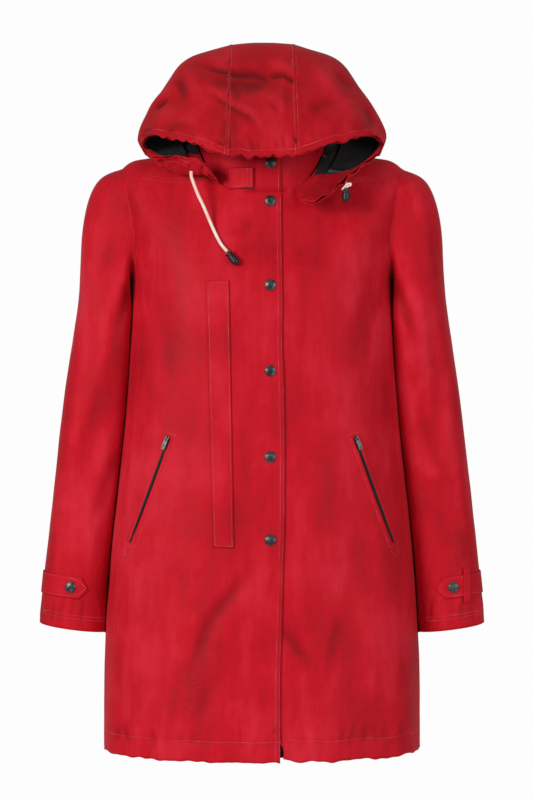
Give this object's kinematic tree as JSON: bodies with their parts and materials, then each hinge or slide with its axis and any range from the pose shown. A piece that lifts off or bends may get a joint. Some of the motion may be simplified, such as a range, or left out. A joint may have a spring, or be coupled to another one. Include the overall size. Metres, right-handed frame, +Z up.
{
  "type": "hooded parka",
  "caption": "Red waxed-cotton hooded parka with a lapped snap front, slanted zip pockets, cuff tabs and a hood drawcord, filled out with no wearer.",
  "frame": {"origin": "centre of the neck base, where the shoulders carry the coat", "axes": "+Z up along the coat, its front towards -Y, the wearer's left arm towards +X"},
  "size_m": [0.6414, 0.3013, 1.0157],
  "materials": {
    "waxed_cotton": "matte, waxed",
    "lining_twill": "matte",
    "zip_tape": "matte",
    "gunmetal": "satin, antiqued",
    "cotton_cord": "matte, twisted",
    "moulded_plastic": "satin",
    "old_brass": "antiqued"
  },
  "bodies": {
    "coat": {"back": "waxed_cotton", "front_right": "waxed_cotton", "front_left": "waxed_cotton", "sleeve_right_front": "waxed_cotton", "sleeve_right_back": "waxed_cotton", "sleeve_left_front": "waxed_cotton", "sleeve_left_back": "waxed_cotton", "hood_side_right": "waxed_cotton", "hood_side_left": "waxed_cotton", "hood_centre": "waxed_cotton", "hood_facing": "waxed_cotton", "hood_lining": "lining_twill", "stand_right": "waxed_cotton", "stand_left": "waxed_cotton", "throat_tab": "waxed_cotton", "chest_flap": "waxed_cotton", "pocket_zip_right": "zip_tape", "zip_slider_right": "gunmetal", "pocket_zip_left": "zip_tape", "zip_slider_left": "gunmetal", "cuff_tab_right": "waxed_cotton", "cuff_tab_left": "waxed_cotton", "cuff_loop_left": "waxed_cotton", "cuff_snap_right": "gunmetal", "cuff_snap_left": "gunmetal", "front_snap_1": "gunmetal", "front_snap_2": "gunmetal", "front_snap_3": "gunmetal", "front_snap_4": "gunmetal", "front_snap_5": "gunmetal", "front_snap_6": "gunmetal", "cord_right": "cotton_cord", "cord_ring_right": "old_brass", "toggle_right": "moulded_plastic", "cord_left": "cotton_cord", "toggle_left": "moulded_plastic"},
    "pull_right": {"zip_pull_right": "gunmetal"},
    "pull_left": {"zip_pull_left": "gunmetal"}
  },
  "joints": [
    {"name": "zip_pull_right_swing", "type": "hinge", "parent": "coat", "child": "pull_right", "pos_m": [-0.13265, -0.11426, -0.41567], "axis": [-0.8323, 0.4324, 0.3469], "range_deg": [0, 150]},
    {"name": "zip_pull_left_swing", "type": "hinge", "parent": "coat", "child": "pull_left", "pos_m": [0.13262, -0.11422, -0.41564], "axis": [-0.8323, -0.4323, -0.347], "range_deg": [0, 150]}
  ]
}
